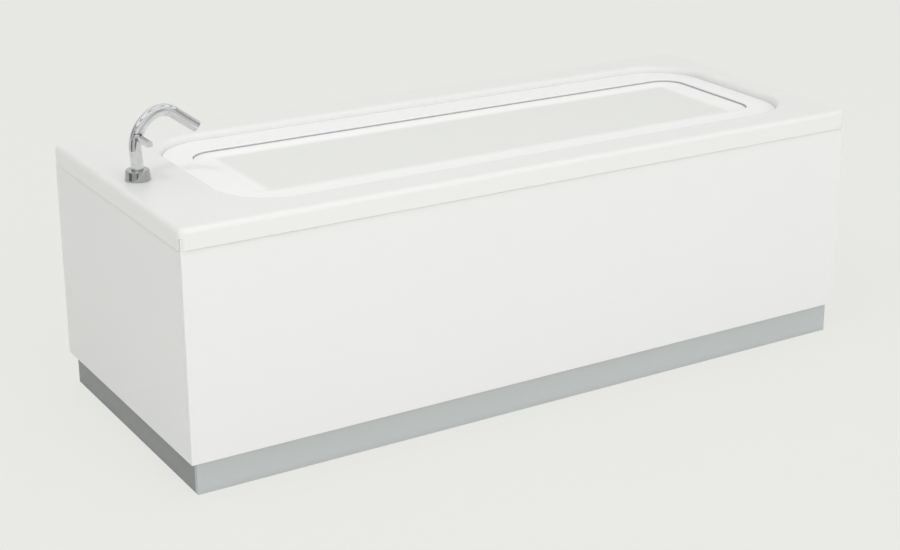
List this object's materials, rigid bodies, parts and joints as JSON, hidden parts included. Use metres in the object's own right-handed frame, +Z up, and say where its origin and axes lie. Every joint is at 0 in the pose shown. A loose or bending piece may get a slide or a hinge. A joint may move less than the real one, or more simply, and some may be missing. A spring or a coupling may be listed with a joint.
{
  "type": "panelled bathtub",
  "caption": "Rectangular panelled bathtub with rounded well closed by a lift-out cover, single-lever tap on the end deck, pop-up waste with turning overflow control, trap and levelling feet.",
  "frame": {"origin": "on the floor, under the middle of the bath's rectangular rim", "axes": "+X along the bath, away from the tap end; +Y across, from the panelled front to the wall behind; +Z up"},
  "size_m": [1.7, 0.7, 0.7236],
  "materials": {
    "acrylic": "glossy white cast acrylic",
    "cover_sheet": "satin white moulded sheet",
    "panel_board": "white satin lacquer on board",
    "plinth_board": "grey laminate on board, set back",
    "timber": "sawn softwood and birch ply, sealed",
    "galvanised_steel": "galvanised, lightly spangled",
    "zinc_plated_steel": "bright zinc plate",
    "foot_plastic": "black moulded nylon",
    "chrome": "polished chrome plate on brass",
    "seal_rubber": "black rubber",
    "waste_plastic": "white moulded waste pipe plastic",
    "cable_sheath": "dark grey smooth sheath",
    "grey_plastic": "grey moulded plastic",
    "brass": "turned brass",
    "copper": "drawn copper tube"
  },
  "bodies": {
    "bath": {"tub_shell": "acrylic", "front_batten": "timber", "back_batten": "timber", "far_batten": "timber", "tap_board": "timber", "baseboard": "timber", "front_panel": "panel_board", "end_panel": "panel_board", "front_plinth": "plinth_board", "end_plinth": "plinth_board", "front_top_rail": "timber", "front_floor_rail": "timber", "end_floor_rails": "timber", "end_top_rails": "timber", "panel_studs": "timber", "wall_brackets": "galvanised_steel", "bracket_screws": "zinc_plated_steel", "cradle_channel_tap": "galvanised_steel", "cradle_channel_far": "galvanised_steel", "foot_lock_nuts": "zinc_plated_steel", "cradle_screws": "zinc_plated_steel", "waste_flange": "chrome", "waste_seal": "seal_rubber", "waste_body": "waste_plastic", "trap": "waste_plastic", "trap_nut": "waste_plastic", "overflow_face": "chrome", "overflow_seal": "seal_rubber", "overflow_body": "waste_plastic", "overflow_pipe": "waste_plastic", "cable_guide_tube": "cable_sheath", "tap_base_ring": "chrome", "tap_gasket": "seal_rubber", "tap_spout": "chrome", "aerator": "grey_plastic", "mixer_cartridge": "grey_plastic", "tap_shank": "brass", "tap_washer": "zinc_plated_steel", "tap_backnut": "brass", "hot_tail": "copper", "cold_tail": "copper", "tail_nuts": "brass"},
    "cover": {"cover_border": "cover_sheet"},
    "tray": {"cover_tray": "cover_sheet"},
    "lever_yoke": {"lever_yoke": "zinc_plated_steel"},
    "lever": {"tap_lever": "chrome"},
    "overflow_control": {"overflow_knob": "chrome"},
    "plug": {"waste_plug": "chrome", "plug_stem": "brass"},
    "foot_1": {"foot_rod_1": "zinc_plated_steel", "foot_cup_1": "foot_plastic"},
    "foot_2": {"foot_rod_2": "zinc_plated_steel", "foot_cup_2": "foot_plastic"},
    "foot_3": {"foot_rod_3": "zinc_plated_steel", "foot_cup_3": "foot_plastic"},
    "foot_4": {"foot_rod_4": "zinc_plated_steel", "foot_cup_4": "foot_plastic"}
  },
  "joints": [
    {"name": "cover_lift", "type": "slide", "parent": "bath", "child": "cover", "axis": [0, 0, 1], "range_m": [0, 0.09]},
    {"name": "tray_lift", "type": "slide", "parent": "cover", "child": "tray", "axis": [0, 0, 1], "range_m": [0, 0.2]},
    {"name": "lever_turn", "type": "hinge", "parent": "bath", "child": "lever_yoke", "pos_m": [-0.78987, 0, 0.662], "axis": [0, 0, 1], "range_deg": [-15, 15]},
    {"name": "lever_lift", "type": "hinge", "parent": "lever_yoke", "child": "lever", "pos_m": [-0.78987, 0, 0.662], "axis": [-1, 0, 0], "range_deg": [0, 20]},
    {"name": "knob_turn", "type": "hinge", "parent": "bath", "child": "overflow_control", "pos_m": [-0.65309, 0, 0.47], "axis": [0.9881, 0, 0.154], "range_deg": [0, 90]},
    {"name": "plug_lift", "type": "slide", "parent": "bath", "child": "plug", "axis": [0, 0, 1], "range_m": [0, 0.01]},
    {"name": "foot_1_adjust", "type": "slide", "parent": "bath", "child": "foot_1", "axis": [0, 0, -1], "range_m": [0, 0.02]},
    {"name": "foot_2_adjust", "type": "slide", "parent": "bath", "child": "foot_2", "axis": [0, 0, -1], "range_m": [0, 0.02]},
    {"name": "foot_3_adjust", "type": "slide", "parent": "bath", "child": "foot_3", "axis": [0, 0, -1], "range_m": [0, 0.02]},
    {"name": "foot_4_adjust", "type": "slide", "parent": "bath", "child": "foot_4", "axis": [0, 0, -1], "range_m": [0, 0.02]}
  ],
  "couplings": [
    {"joint": "plug_lift", "follows": "knob_turn", "m_per_rad": 0.00636}
  ]
}
